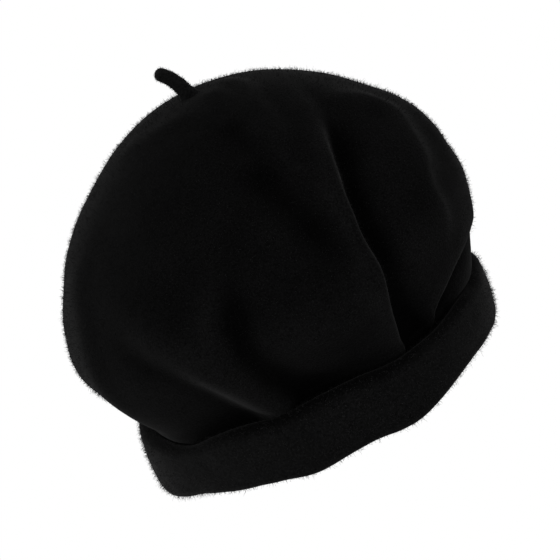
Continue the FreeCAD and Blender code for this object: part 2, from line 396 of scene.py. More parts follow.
def woven_satin(name, colour):
    """Blank woven label tape, off-white, with crossing threads."""
    nodes = Nodes(name)
    warp = nodes.noise(2600, detail=1, stretch=(1, 1, 0.12))
    weft = nodes.noise(2600, detail=1, stretch=(0.12, 0.12, 1))
    stain = nodes.noise(120, detail=3)
    dark = tuple(0.72 * c for c in colour)
    threads = nodes.ramp(warp, [(0.3, dark), (0.7, colour)])
    cross = nodes.ramp(weft, [(0.3, (0.82,) * 3), (0.7, (1.0,) * 3)])
    soil = nodes.ramp(stain, [(0.3, (0.86, 0.85, 0.82)), (0.7, (1.0, 1.0, 1.0))])
    nodes.link(nodes.multiply(nodes.multiply(threads, cross), soil), nodes.shader, "Base Color")
    nodes.link(nodes.bump(warp, 0.00015, 0.5), nodes.shader, "Normal")
    return nodes.finish(Roughness=0.42, Specular_IOR_Level=0.45, Sheen_Weight=0.2)


def polyester_thread(name, grey):
    """Twisted sewing thread with a slight gloss."""
    nodes = Nodes(name)
    fibre = nodes.noise(3000, detail=2, distortion=1.0)
    colour = nodes.ramp(fibre, [(0.3, (grey * 0.5,) * 3), (0.7, (grey * 1.7,) * 3)])
    nodes.link(colour, nodes.shader, "Base Color")
    nodes.link(nodes.bump(fibre, 0.0001, 0.4), nodes.shader, "Normal")
    return nodes.finish(Roughness=0.5, Specular_IOR_Level=0.15, Sheen_Weight=0.05)


# -------- nap

NAP_RADIUS = 0.075
NAP_TAPER = np.array([1.0, 0.85, 0.35])
NAP_SIDES = 3
# how much fibres differ in direction, bend and length, where they bend, how deep they are sunk
NAP_LEAN = 0.6
NAP_CURL = 0.35
NAP_SHORTEST = 0.45
NAP_BEND = 0.55
NAP_ROOT = 0.3


def nap_fibres(grid, normals, count, length, seed):
    """Rings of short wool fibres that stand out of a surface, each leaning its own way."""
    random = np.random.default_rng(seed)
    beside = np.roll(grid, -1, axis=1)
    area = np.linalg.norm(np.cross(beside[:-1] - grid[:-1], grid[1:] - grid[:-1]), axis=2)
    chosen = random.choice(area.size, count, p=(area / area.sum()).ravel())
    row, column = np.unravel_index(chosen, area.shape)
    across, upward = random.random((2, count, 1))
    aside = (beside - grid)[row, column]
    above = (grid[1:] - grid[:-1])[row, column]
    surface = grid[row, column] + across * aside + upward * above
    out = normals[row, column]
    lean = unit(out + random.normal(0, NAP_LEAN, (count, 3)))
    reach = length * random.uniform(NAP_SHORTEST, 1.0, (count, 1))
    curl = random.normal(0, NAP_CURL, (count, 3))
    middle = surface + NAP_BEND * reach * lean
    end = surface + reach * (lean + curl)
    paths = np.stack([surface - NAP_ROOT * out, middle, end], axis=1)
    return [tube_rings(path, NAP_RADIUS * NAP_TAPER, NAP_SIDES) for path in paths]


def store_painted_light_and_shade(thing, outer, inner_count):
    """Stores the painted light and shade at each outer vertex, and 0 at the rest."""
    values = np.concatenate([outer.ravel(), np.zeros(inner_count)])
    attribute = thing.data.attributes.new(PAINTED_LIGHT_AND_SHADE_ATTRIBUTE, "FLOAT", "POINT")
    attribute.data.foreach_set("value", values.astype(np.float32))


def make_nap(name, node, fibres, material):
    """The fibres that stand on one node's felt, as a piece of their own."""
    nap = tube_object(name, fibres, material)
    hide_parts(node)
    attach(nap, "hat")


# -------- cuff

# the rim's rolled edge and the length that is tucked down behind it
CUFF_ROLL = 5.0
CUFF_TAIL = 13.0
# how far the wall swells, and how far its top leans out
CUFF_BULGE = 1.0
CUFF_LEAN = 2.4
SEAM_ABOVE_FOLD = 2.0
# radii of the middle of the felt
SEAM_RADIUS = SKIRT_OUTER - FELT / 2
WALL_RADIUS = CUFF_HIGH.x - FELT / 2
LOW_WALL = WALL_RADIUS - 0.6 * CUFF_LEAN
HIGH_WALL = WALL_RADIUS + 0.4 * CUFF_LEAN
FOLD_RADIUS = (WALL_RADIUS - SEAM_RADIUS) / 2
ROLL_RADIUS = CUFF_ROLL - FELT / 2
ROLL_CENTRE = HIGH_WALL - ROLL_RADIUS
# between the roll and the crown that lies on it
ROLL_CLEARANCE = 0.3

CUFF_COLUMNS = 360
# rows run from the seam under the fold to the tucked edge
CUFF_ROWS = 64
CUFF_WAVES = [(0.7, 34, 3), (0.25, 11, 4)]
WAVES_END_ROWS = (42, 48)
WAVES_START = 3
# painted shade: the colour is darker where the felt rolls over and is tucked in
TUCK_PAINTED_SHADE = 0.55
TUCK_SHADE_ROWS = (37, 45)
CUFF_NAP = dict(count=14000, length=2.4, seed=5)
CUFF_NAP_ROWS = slice(10, 58)

# heights of the cuff's lower edge and of its rim, round the hat
cuff_bottom = around(
    [(-168, -8.8), (-158, -6), (-148, -3.6), (-133, -3.6), (-118, -3.0), (-105, -6.4), (-92, -2.2)]
    + [(-80, -2.2), (-73, -5.8), (-63, -3.2), (-55, -0.2), (-44, 2.4), (-28, 3.4), (-5, 1)]
    + [(20, -4), (48, -0.5), (80, -4), (108, 0), (138, -4.5), (165, -9.5)]
)
cuff_top = around(
    [(-162, 27.5), (-149, 26), (-141, 27), (-132, 31.8), (-121, 34.5), (-106, 33)]
    + [(-95, 35.7), (-80, 35.7), (-70, 31.8), (-50, 32), (-34, 34.8), (-22, 33), (0, 36)]
    + [(30, 33), (60, 35.5), (90, 32.5), (120, 35), (150, 31), (175, 29)]
)
# how far its lower part stands out beyond the usual wall
flares = [(-170, 5), (-156, 3.2), (-142, 0.5), (-125, 0), (0, 0), (120, 0), (160, 2.5)]
cuff_flare = around(flares, softness=6)


def fold_centre(bottom):
    """Height of the centre of the cuff's lower fold."""
    return bottom + FELT / 2 + FOLD_RADIUS - 0.3 * CUFF_LEAN


def seam_height(azimuth):
    """Height of the hidden seam where the crown's hem meets the cuff."""
    return fold_centre(cuff_bottom(azimuth)) + SEAM_ABOVE_FOLD


def cuff_section(bottom, top, flare):
    """The middle of the felt across the cuff, from its seam under the fold to its tucked edge."""
    fold_height = fold_centre(bottom)
    roll_height = top - FELT / 2 - ROLL_RADIUS
    low_wall = LOW_WALL + flare
    middle = (SEAM_RADIUS + low_wall) / 2
    half = (low_wall - SEAM_RADIUS) / 2
    points = [(SEAM_RADIUS, fold_height + SEAM_ABOVE_FOLD)]
    for angle in np.radians(np.linspace(180, 360, 13)):
        points.append((middle + half * math.cos(angle), fold_height + half * math.sin(angle)))
    for share in np.linspace(0.15, 0.85, 6):
        wall = low_wall + share * (HIGH_WALL - low_wall) + CUFF_BULGE * math.sin(math.pi * share)
        points.append((wall, fold_height + share * (roll_height - fold_height)))
    for angle in np.radians(np.linspace(0, 180, 9)):
        across = ROLL_RADIUS * math.cos(angle)
        points.append((ROLL_CENTRE + across, roll_height + ROLL_RADIUS * math.sin(angle)))
    points.append((HIGH_WALL - 2 * ROLL_RADIUS, roll_height - CUFF_TAIL))
    return resample(np.array(points), CUFF_ROWS)


def make_cuff(material, nap_material):
    """The turned-up felt strip round the opening: folded below, rolled over and tucked in above."""
    azimuths = np.arange(CUFF_COLUMNS) * 360 / CUFF_COLUMNS
    sections = [cuff_section(cuff_bottom(a), cuff_top(a), cuff_flare(a)) for a in azimuths]
    sections = np.array(sections).transpose(1, 0, 2)
    grid = place(azimuths, sections[..., 0], sections[..., 1])
    normals = grid_normals(grid)
    rows = np.arange(CUFF_ROWS)
    wave = swells(grid, CUFF_WAVES)
    wave *= smoothstep(sections[..., 0], SEAM_RADIUS, SEAM_RADIUS + WAVES_START)
    wave *= 1 - smoothstep(rows, *WAVES_END_ROWS)[:, None]
    grid = grid + normals * wave[..., None]
    outer = grid + normals * FELT / 2
    cuff = sheet_object("cuff_felt", outer, grid - normals * FELT / 2, material)
    # painted shade over the roll's top and the tucked edge
    tuck_shade = -TUCK_PAINTED_SHADE * smoothstep(rows, *TUCK_SHADE_ROWS)
    store_painted_light_and_shade(cuff, np.repeat(tuck_shade, CUFF_COLUMNS), CUFF_ROWS * CUFF_COLUMNS)
    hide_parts("cuff")
    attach(cuff, "hat")
    fibres = nap_fibres(outer[CUFF_NAP_ROWS], normals[CUFF_NAP_ROWS], **CUFF_NAP)
    make_nap("cuff_nap", "cuff", fibres, nap_material)


# -------- crown

CROWN_COLUMNS = 450
# rows run from the hem to the top
CROWN_ROWS = 176
CROWN_WAVES = [(1.1, 62, 1), (0.5, 27, 2)]
CROWN_NAP = dict(count=26000, length=1.9, seed=6)
CROWN_NAP_ROWS = slice(45, CROWN_ROWS)
# the felt's top round the stalk's root
CROWN_TOP = CROWN_HIGH.z - 2.2
# the rows and the heights that stay straight below the belly
HEM_ROWS = 14
SKIRT_HEIGHTS = (CROWN_LOW.z, 18, 27)

# (height, reach to the left, reach to the right) as shares of the CAD crown's height and reaches
CROWN_SHAPE = [
    (0.179, 0.770, 0.791),
    (0.210, 0.832, 0.853),
    (0.245, 0.890, 0.881),
    (0.308, 0.962, 0.926),
    (0.382, 1.007, 0.979),
    (0.461, 0.992, 1.000),
    (0.539, 0.958, 0.974),
    (0.618, 0.899, 0.945),
    (0.697, 0.824, 0.882),
    (0.776, 0.711, 0.764),
    (0.850, 0.574, 0.636),
    (0.913, 0.428, 0.470),
    (0.958, 0.280, 0.303),
    (0.981, 0.140, 0.150),
    (0.987, 0.035, 0.042),
]

# how softly one point of a fold's path gives way to the next
FOLD_BLEND = 3.0
FOLD_POINTS = 90
DOME_MIDDLE = np.array([0, 0, 85])
# how deep the belly is drawn in at the front, over which degrees and heights
TUCK_DEPTH = 7.5
TUCK_TURN = (28, 62)
TUCK_RISE = (32, 45)
TUCK_FALL = (45, 88)
# the heights over which the crown starts and stops moving with the cuff's rim
FOLLOW_RISE = (10, 34)
FOLLOW_FALL = (40, 78)
HEM_TOP = 22
HEM_GAP = 0.2
# how far the crown settles, and how deep its hollows go at the rim and per millimetre above
RIM_SETTLE = 2.6
RIM_HOLD = 4.5
RIM_SLACK = 0.6
# how far below the rim the folds start, and the rise to their full size
FOLDS_START = 7
FOLDS_EASE = 10
LINING_GAP = 0.15

# Each fold runs down its path of (azimuth, height). Its left and right sides have a height
# above the dome and a width; "edge" is how soft the step between them is, "lap" how far
# the higher side leans over, and "fade" how slowly the fold begins.
FOLDS = [
    dict(path=[(-43, 159), (-53.5, 146), (-60.8, 131), (-63.3, 115), (-63.8, 99), (-63.6, 83), (-62.6, 67),
               (-61.2, 50), (-61.8, 32)], left=(4.5, 30), right=(-15, 17), edge=5.4, lap=1.4, fade=31),
    dict(path=[(-34, 162), (-26, 157.5), (-19, 150), (-19, 139.5), (-26, 129), (-31, 118), (-36, 106),
               (-38, 93)], left=(3.6, 14), right=(3.6, 9), edge=2.5, fade=18, sharp=1.5),
    dict(path=[(-2, 153), (-6, 139), (-10, 124), (-14, 108)],
         left=(2.2, 11), right=(2.2, 12), edge=6, fade=20),
    dict(path=[(-16, 67), (-26, 62), (-36, 55), (-43.5, 45.5), (-47, 35), (-49, 24)],
         left=(2.5, 16), right=(-10, 13), edge=4.6, lap=1.2, fade=8),
    dict(path=[(-80, 162), (-79, 149), (-77.5, 136), (-75.5, 123)],
         left=(-8, 15), right=(-8, 13), edge=6, fade=22),
    dict(path=[(-103, 122), (-106, 107), (-108, 92), (-107.5, 76), (-105, 60), (-102, 44), (-101, 29)],
         left=(4.3, 16), right=(-8, 21), edge=7.8, lap=0.6, fade=34),
    dict(path=[(-141.5, 108), (-135.5, 101), (-129, 92.5), (-122.5, 82), (-117.5, 69), (-114.5, 55),
               (-113, 41), (-112.5, 27)], left=(-3.4, 40), right=(6.2, 18), edge=13, lap=-0.2, fade=30),
    dict(path=[(-168, 84), (-167, 70), (-166, 56), (-166, 42), (-166, 28)],
         left=(-5, 34), right=(-5, 42), edge=8, fade=34),
    dict(path=[(40, 186.8), (-12, 185.8), (-36, 182.5), (-52, 178), (-60, 172), (-65, 165)],
         left=(3.4, 9), right=(3.4, 8), edge=4, fade=26),
    dict(path=[(-50, 187), (-61, 182), (-67, 176), (-70, 169)],
         left=(2.2, 6), right=(2.2, 6), edge=3, fade=10),
    dict(path=[(-76, 178), (-78, 168), (-80, 158)], left=(-3, 14), right=(-3, 12), edge=6, fade=12),
    dict(path=[(-92, 185.5), (-120, 184), (-139, 182), (-161, 179.5)],
         left=(1, 9), right=(1, 8), edge=4, fade=10),
    dict(path=[(-164, 142), (-160, 127), (-157.5, 112), (-156, 97), (-155, 82), (-153, 68)],
         left=(2.8, 16), right=(2.8, 10), edge=3, fade=20),
    dict(path=[(20, 124), (18, 106), (16, 88), (14, 68), (13, 48), (13, 28)],
         left=(2.5, 18), right=(-9, 16), edge=3.4, lap=2, fade=26),
    dict(path=[(55, 140), (49, 122), (46, 104), (44, 84), (43, 64), (43, 46), (44, 28)],
         left=(-10, 19), right=(4, 18), edge=3.4, lap=-2.2, fade=28),
    dict(path=[(74, 108), (71, 92), (68, 72), (67, 50), (67, 28)],
         left=(2.5, 13), right=(-6, 12), edge=4, lap=1, fade=22),
    dict(path=[(112, 136), (115, 120), (117, 102), (118, 82), (118, 60), (118, 44), (118, 28)],
         left=(-9, 16), right=(4, 20), edge=3.4, lap=-2.2, fade=28),
    dict(path=[(150, 122), (147, 104), (144, 84), (142, 62), (142, 45), (143, 28)],
         left=(3.5, 16), right=(-9, 16), edge=3.4, lap=2, fade=26),
    dict(path=[(172, 100), (170, 82), (168, 62), (167, 45), (167, 28)],
         left=(-5, 12), right=(2, 14), edge=4, lap=-1, fade=20),
]


def crown_profile():
    """Rows of (height, left reach, right reach), evenly spaced along the crown from its hem up."""
    rows = [(height, SKIRT_OUTER, SKIRT_OUTER) for height in SKIRT_HEIGHTS]
    for height, left, right in CROWN_SHAPE:
        rows.append((height * CROWN_HIGH.z, -left * CROWN_LOW.x, right * CROWN_HIGH.x))
    return resample(spline(rows, 12), CROWN_ROWS)


def on_crown(profile, azimuths, heights):
    """Points on the smooth dome."""
    left = np.interp(heights, profile[:, 0], profile[:, 1])
    right = np.interp(heights, profile[:, 0], profile[:, 2])
    points = place(azimuths, (left + right) / 2 - front_tuck(azimuths, heights), heights)
    points[..., 0] += (right - left) / 2
    return points


def front_tuck(azimuths, heights):
    """How far the belly is drawn in over the cuff at the front, where the felt goes straight down."""
    from_front = np.abs((azimuths + 270) % 360 - 180)
    level = smoothstep(heights, *TUCK_RISE) * (1 - smoothstep(heights, *TUCK_FALL))
    return TUCK_DEPTH * (1 - smoothstep(from_front, *TUCK_TURN)) * level


def follow_cuff(azimuths, heights):
    """How far the crown's lower part moves up or down to lie on the cuff's wavy rim."""
    share = smoothstep(heights, *FOLLOW_RISE) * (1 - smoothstep(heights, *FOLLOW_FALL))
    hem_rise = seam_height(azimuths) + HEM_GAP - CROWN_LOW.z
    hem = (1 - smoothstep(heights, CROWN_LOW.z, HEM_TOP)) * hem_rise
    return hem + share * (cuff_top(azimuths) - CUFF_HIGH.z - RIM_SETTLE)


def fold_frames(profile, path):
    """Points down a fold's path on the dome, and the way to the right at each."""
    curve = spline(path, 14)
    points = on_crown(profile, curve[:, 0], curve[:, 1])
    points[:, 2] += follow_cuff(curve[:, 0], curve[:, 1])
    points = resample(points, FOLD_POINTS)
    down = unit(np.gradient(points, axis=0))
    return points, unit(np.cross(points - DOME_MIDDLE, down))


def fold_shape(points, profile, path, left, right, edge, fade, lap=0, sharp=2):
    """Height of one fold at each point, and how far it pulls the felt sideways."""
    centres, rightward = fold_frames(profile, path)
    squares = (points**2).sum(axis=1)[:, None] - 2 * points @ centres.T + (centres**2).sum(axis=1)
    distance = np.sqrt(np.maximum(squares, 0))
    closest = distance.min(axis=1)
    weight = np.exp((closest[:, None] - distance) / FOLD_BLEND)
    weight /= weight.sum(axis=1, keepdims=True)
    across = (weight * (points @ rightward.T - (centres * rightward).sum(axis=1))).sum(axis=1)
    beyond = np.sqrt(np.maximum(closest**2 - across**2, 0))
    step = np.linalg.norm(np.diff(centres, axis=0), axis=1).mean()
    along = (weight * np.arange(len(centres))).sum(axis=1) * step
    strength = smoothstep(along, -fade * 0.2, fade) * np.exp(-((beyond / fade) ** 2))
    side = smoothstep(across, -edge, edge)
    rise = left[0] * np.exp(-(np.abs(np.minimum(across, 0)) / left[1]) ** sharp)
    fall = right[0] * np.exp(-(np.abs(np.maximum(across, 0)) / right[1]) ** sharp)
    height = strength * (rise * (1 - side) + fall * side)
    pull = strength * lap * np.exp(-((across / (3 * edge)) ** 2))
    return height, pull[:, None] * (weight @ rightward)


def soften(grid, times, keep, ease=6):
    """Averages each point with its neighbours, but keeps the lowest rows."""
    for _ in range(times):
        beside = np.roll(grid, 1, axis=1) + np.roll(grid, -1, axis=1)
        beside[1:-1] += grid[2:] + grid[:-2]
        mean = beside[1:-1] / 4
        weight = 0.5 * smoothstep(np.arange(1, len(grid) - 1), keep, keep + ease)[:, None, None]
        grid[1:-1] += weight * (mean - grid[1:-1])
    return grid


# the height up to which the felt hangs straight, higher behind the bow and the size tab
straights = [(55, BAND_HIGH.z + 1), (68, 35), (135, 35), (150, BAND_HIGH.z + 1)]
straight_to = around(straights, softness=3)


def clear_of_lining(points, azimuths):
    """Keeps the felt outside the ribbon, the bow and the size tab."""
    least = SKIRT_OUTER + LINING_GAP - np.maximum(points[..., 2] - straight_to(azimuths), 0)
    radius = np.hypot(points[..., 0], points[..., 1])
    points[..., :2] *= np.maximum(least / radius, 1)[..., None]
    return points


def lie_on_cuff(points, azimuths):
    """Keeps the felt inside the cuff's tucked edge and then outside its roll."""
    radius = np.hypot(points[..., 0], points[..., 1])
    along = radius - ROLL_CENTRE
    above = points[..., 2] - (cuff_top(azimuths) - CUFF_ROLL)
    reach = CUFF_ROLL + ROLL_CLEARANCE
    push = np.maximum(reach / np.maximum(np.hypot(along, above), 1e-3), 1)
    tucked = np.where(along < 0, np.minimum(along, -reach), np.maximum(along, reach))
    moved = np.where(above > 0, along * push, tucked)
    points[..., :2] *= ((ROLL_CENTRE + moved) / radius)[..., None]
    points[..., 2] += np.where(above > 0, above * (push - 1), 0)
    return points


def crown_surface():
    """The crown's outer face: the dome with all its folds, laid on the cuff."""
    profile = crown_profile()
    azimuths = np.arange(CROWN_COLUMNS) * 360 / CROWN_COLUMNS
    azimuths, heights = np.meshgrid(azimuths, profile[:, 0])
    # each row has its own reach, as rows near the top have almost the same height
    reach = (profile[:, 1] + profile[:, 2])[:, None] / 2
    centre = (profile[:, 2] - profile[:, 1])[:, None] / 2
    base = place(azimuths, reach - front_tuck(azimuths, heights), heights)
    base[..., 0] += centre
    base[..., 2] += follow_cuff(azimuths, heights)
    normals = grid_normals(base)
    rim = cuff_top(azimuths)
    hidden = np.maximum(rim - FOLDS_START, BAND_HIGH.z)
    free = smoothstep(base[..., 2], hidden, hidden + FOLDS_EASE)
    height = swells(base, CROWN_WAVES)
    pull = np.zeros_like(base)
    for fold in FOLDS:
        rise, shift = fold_shape(base.reshape(-1, 3), profile, **fold)
        height += rise.reshape(height.shape)
        pull += shift.reshape(pull.shape)
    above_rim = np.maximum(base[..., 2] - rim, 0)
    height = np.maximum(height, -RIM_HOLD - RIM_SLACK * above_rim)
    moved = normals * height[..., None] + pull
    grid = soften(base + moved * free[..., None], 3, HEM_ROWS)
    return lie_on_cuff(clear_of_lining(grid, azimuths), azimuths)


# how much painted light a crest gets, and painted shade a hollow, per millimetre that it stands out, and
# the limits of that
CREST_SHADE_GAIN = 0.3
CREST_BLUR = 100
CREST_SHADE_LIMITS = (-0.42, 0.65)
CREST_TOP_ROWS = 16


def paint_crest_light_and_shade(thing, outer):
    """Stores how far each point of the felt stands out of its surroundings, as painted light on crests and
    painted shade in hollows.
    """
    smooth = soften(outer.copy(), CREST_BLUR, 4)
    stand = ((outer - smooth) * grid_normals(smooth)).sum(axis=2)
    painted_light_and_shade = np.clip(CREST_SHADE_GAIN * (stand - np.median(stand)), *CREST_SHADE_LIMITS)
    painted_light_and_shade[-CREST_TOP_ROWS:] *= np.linspace(1, 0, CREST_TOP_ROWS)[:, None]
    # the inner face has as many points, and two vertices close the top
    store_painted_light_and_shade(thing, painted_light_and_shade, painted_light_and_shade.size + 2)


def make_crown(material, nap_material):
    """The crown's felt. Also gives its inner face, for what is sewn to it."""
    outer = crown_surface()
    inner = outer - grid_normals(soften(outer.copy(), 10, HEM_ROWS)) * FELT
    crown = sheet_object("crown_felt", outer, inner, material, closed_top=True)
    # painted light on the crown's crests and painted shade in its hollows
    paint_crest_light_and_shade(crown, outer)
    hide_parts("crown")
    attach(crown, "hat")
    normals = grid_normals(outer)
    fibres = nap_fibres(outer[CROWN_NAP_ROWS], normals[CROWN_NAP_ROWS], **CROWN_NAP)
    make_nap("crown_nap", "crown", fibres, nap_material)
    return inner


# -------- stalk

# (distance along the stalk from its pivot, lean in degrees) and (distance, radius)
STALK_LEANS = [(0, 14), (7, 24), (13, 38), (20.5, 50)]
STALK_RADII = [(-6, 7.4), (-3.4, 5.8), (-1.2, 5.0), (2, 4.45), (6, 4.1), (11, 3.9), (16.5, 3.75)]
STALK_ROOT = -6
STALK_TIP = 16.8
STALK_STEP = 0.35
STALK_SIDES = 40
STALK_ROUGHNESS = [(0.28, 5, 11), (0.12, 1.8, 12)]
STALK_NAP = dict(count=900, length=1.1, seed=7)
STALK_NAP_ROWS = slice(8, None)


def make_stalk(material):
    """A felt tail on a flared root that grows out of the crown's top."""
    along = np.arange(STALK_ROOT, STALK_TIP, STALK_STEP)
    lean = np.radians(np.interp(along, *zip(*STALK_LEANS)))
    heading = np.stack([-np.sin(lean), np.zeros_like(lean), np.cos(lean)], axis=1)
    path = np.cumsum(heading * STALK_STEP, axis=0)
    path += np.array(STALK_PIVOT) - path[np.abs(along).argmin()]
    radii = np.interp(along, *zip(*STALK_RADII))
    radii = np.convolve(np.pad(radii, 4, mode="edge"), np.ones(9) / 9, mode="valid")
    heading = (path[-1] - path[-2]) / STALK_STEP
    tip_radius = radii[-1]
    angles = np.radians(np.arange(6, 91, 6))
    tip = path[-1] + np.sin(angles)[:, None] * heading * tip_radius
    path = np.concatenate([path, tip])
    radii = np.concatenate([radii, np.maximum(np.cos(angles), 0.03) * tip_radius])
    rings = tube_rings(path, radii, STALK_SIDES)
    spread = (rings - path[:, None]) / np.maximum(radii, 0.1)[:, None, None]
    rough = swells(rings, STALK_ROUGHNESS)
    rings = rings + spread * rough[..., None] * np.minimum(radii / 2, 1)[:, None, None]
    fibres = nap_fibres(rings[STALK_NAP_ROWS], unit(spread)[STALK_NAP_ROWS], **STALK_NAP)
    stalk = tube_object("stalk_felt", [rings] + fibres, material)
    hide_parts("stalk")
    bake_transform(stalk)


# -------- sweatband

BAND_RIBS = 600
RIB_DEPTH = 0.16
# the firm flat edge above and below, as a share of the width
EDGE_SHARE = 0.05
EDGE_DEPTH = 0.08
BAND_ABOVE_FOLD = 3.5


def band_bottom(azimuth):
    """The ribbon's lower edge keeps just inside the cuff's fold."""
    return np.maximum(BAND_LOW.z + 0.2, cuff_bottom(azimuth) + BAND_ABOVE_FOLD)


def make_sweatband(material):
    """Grosgrain ribbon with upright ribs and a firmer edge above and below."""
    columns = BAND_RIBS * 4
    azimuths = np.arange(columns) * 360 / columns
    shares = [0, 0.02, 0.045, 0.055, *np.linspace(0.1, 0.9, 9), 0.945, 0.955, 0.98, 1]
    azimuths, shares = np.meshgrid(azimuths, shares)
    heights = band_bottom(azimuths) + shares * (BAND_HIGH.z - band_bottom(azimuths))
    edge = np.minimum(shares, 1 - shares) < EDGE_SHARE
    ribs = np.where(edge, EDGE_DEPTH, RIB_DEPTH * np.cos(np.radians(azimuths * BAND_RIBS)))
    wave = 0.12 * ripple(place(azimuths, HEAD_RADIUS, heights), 30, 21)
    inner = place(azimuths, HEAD_RADIUS - 0.05 - ribs + wave, heights)
    outer = place(azimuths, HEAD_RADIUS + RIBBON, heights)
    band = sheet_object("sweatband_ribbon", outer, inner, material)
    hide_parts("sweatband")
    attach(band, "hat")


BOW_RIBBON = 0.4
# how much the loops narrow at the knot, and over which length
BOW_PINCH = 0.28
BOW_PINCH_LENGTH = 5
LOOP_POINTS = 56
KNOT_POINTS = 40


def bow_loop(side):
    """The middle of the ribbon of one loop, to the left for side -1 and to the right for 1."""
    low, high = node_box("bow_loops")
    knot_half = node_box("bow_knot")[1].x
    angle = np.arange(LOOP_POINTS) * 2 * math.pi / LOOP_POINTS
    share = (1 - np.cos(angle)) / 2
    reach = knot_half + share * (high.x - knot_half - 0.3)
    depth = 0.35 + 0.75 * np.sin(math.pi * np.minimum(share * 1.15, 1)) ** 0.6
    reach, rows = np.meshgrid(reach, np.linspace(low.z, high.z, 9))
    puff = np.broadcast_to(depth * np.sin(angle), reach.shape)
    held = 1 - smoothstep(np.abs(reach), knot_half, knot_half + BOW_PINCH_LENGTH)
    middle = (low.z + high.z) / 2
    y = high.y - 1.2 - reach**2 / (2 * HEAD_RADIUS) - puff
    loop = np.stack([side * reach, y, middle + (rows - middle) * (1 - BOW_PINCH * held)], axis=-1)
    return loop[:, ::-1] if side > 0 else loop


def make_bow_loops(material):
    """Two flat loops of narrow ribbon at the back, over the join of the sweatband."""
    for name, side in (("bow_loop_left", -1), ("bow_loop_right", 1)):
        loop = bow_loop(side)
        half = grid_normals(loop) * BOW_RIBBON / 2
        thing = sheet_object(name, loop + half, loop - half, material)
        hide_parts("bow_loops")
        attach(thing, "hat")


def make_bow_knot(material):
    """A short band with rounded corners that holds the two loops."""
    low, high = node_box("bow_knot")
    middle = (low + high) / 2
    angle = np.arange(KNOT_POINTS) * 2 * math.pi / KNOT_POINTS
    boxy_y, boxy_z = (np.sign(wave) * np.abs(wave) ** 0.6 for wave in (np.cos(angle), np.sin(angle)))
    rings = []
    for x in np.linspace(low.x, high.x, 17):
        swell = 1 - 0.16 * (x / high.x) ** 4 + 0.05 * math.cos(x * 4.2)
        y = middle.y + (high.y - middle.y) * swell * boxy_y
        z = middle.z + (high.z - middle.z) * swell * boxy_z
        rings.append(np.stack([np.full(KNOT_POINTS, x), y, z], axis=1))
    knot = tube_object("bow_knot_ribbon", [np.array(rings)], material)
    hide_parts("bow_knot")
    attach(knot, "hat")


# -------- labels

TAB_WIDTH = 12.0
TAB_TAPE = 0.16
TAB_GAP = 0.34
LABEL_WIDTH = 30.0
LABEL_LENGTH = 22.0
LABEL_SATIN = 0.18
LABEL_LEAN = 27.0
LABEL_HEM = 0.45
LABEL_CURL = 0.5
LABEL_WAVE = 0.35


def make_size_tab(material):
    """A short tab of blank tape, folded double at its top. Also gives where its inner layer is."""
    low, high = node_box("size_tab")
    middle = (low + high) / 2
    azimuth = math.degrees(math.atan2(middle.y, middle.x))
    outer_radius = BAND_HIGH.x + GAP - 0.22
    bend = TAB_GAP / 2
    top = high.z - bend
    section = [(outer_radius, z) for z in np.linspace(low.z, top, 9)]
    for angle in np.radians(np.linspace(20, 160, 7)):
        section.append((outer_radius - bend + bend * math.cos(angle), top + bend * math.sin(angle)))
    section += [(outer_radius - TAB_GAP, z) for z in np.linspace(top, low.z, 9)]
    half_width = TAB_WIDTH / 2 / HEAD_RADIUS
    azimuths = azimuth + np.degrees(np.linspace(half_width, -half_width, 15))
    radii, heights = (np.array(column)[:, None] for column in zip(*section))
    grid = place(azimuths[None, :], radii, heights)
    tab = panel_object("size_tab_tape", grid, TAB_TAPE, material)
    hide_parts("size_tab")
    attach(tab, "hat")
    return azimuth, outer_radius - TAB_GAP


def make_care_label(material):
    """A blank satin label with a rolled hem that it turns on, and a slightly curled end."""
    angles = np.radians(np.linspace(300, 20, 15))
    section = [(LABEL_HEM * math.cos(a), LABEL_HEM * math.sin(a)) for a in angles]
    lean = math.radians(LABEL_LEAN)
    for distance in np.linspace(1.0, LABEL_LENGTH, 22):
        curl = LABEL_CURL * (distance / LABEL_LENGTH) ** 3
        section.append((-distance * math.sin(lean) - curl, -distance * math.cos(lean)))
    x = np.linspace(-LABEL_WIDTH / 2, LABEL_WIDTH / 2, 31)[None, :]
    share = np.linspace(0, 1, len(section))[:, None]
    wave = LABEL_WAVE * np.sin(x / 5.0) * share**2
    y, z = (np.array(column)[:, None] for column in zip(*section))
    grid = np.stack(np.broadcast_arrays(x, LABEL_PIVOT.y + y + wave, LABEL_PIVOT.z + z), axis=-1)
    label = panel_object("care_label_satin", grid, LABEL_SATIN, material)
    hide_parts("care_label")
    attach(label, "care_label")


# -------- stitches

THREAD = 0.35
STITCH_LIFT = 0.25
TACKS = (43.8, 46.2, 133.8, 136.2, 223.8, 226.2, 313.8, 316.2)
JOIN_HEIGHTS = (6.0, 9.5, 13.0, 16.5, 20.0, 23.0)


def stitch(start, end, lift):
    """Rings of one two-ply stitch that rises by the vector lift between its two ends."""
    t = np.linspace(0, 1, 11)[:, None]
    start, end, lift = (np.array(v, float) for v in (start, end, lift))
    centres = start + (end - start) * t + lift * 4 * t * (1 - t)
    radii = THREAD * (0.55 + 0.45 * np.sin(math.pi * t))
    return tube_rings(centres, radii, 10, lobes=2, depth=0.2, twist=9.0)


def sew(what, stitches, material):
    """One node's stitches as one piece."""
    node = what + "_stitches"
    thread = tube_object(what + "_thread", stitches, material)
    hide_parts(node)
    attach(thread, "hat")


def ring_stitches(radius, azimuths, heights, length):
    """Running stitches that lie round the hat's inside."""
    half = math.degrees(length / 2 / radius)
    made = []
    for azimuth, height in zip(azimuths, heights):
        start = place(azimuth - half, radius, height)
        end = place(azimuth + half, radius, height)
        made.append(stitch(start, end, -place(azimuth, STITCH_LIFT, 0.0)))
    return made


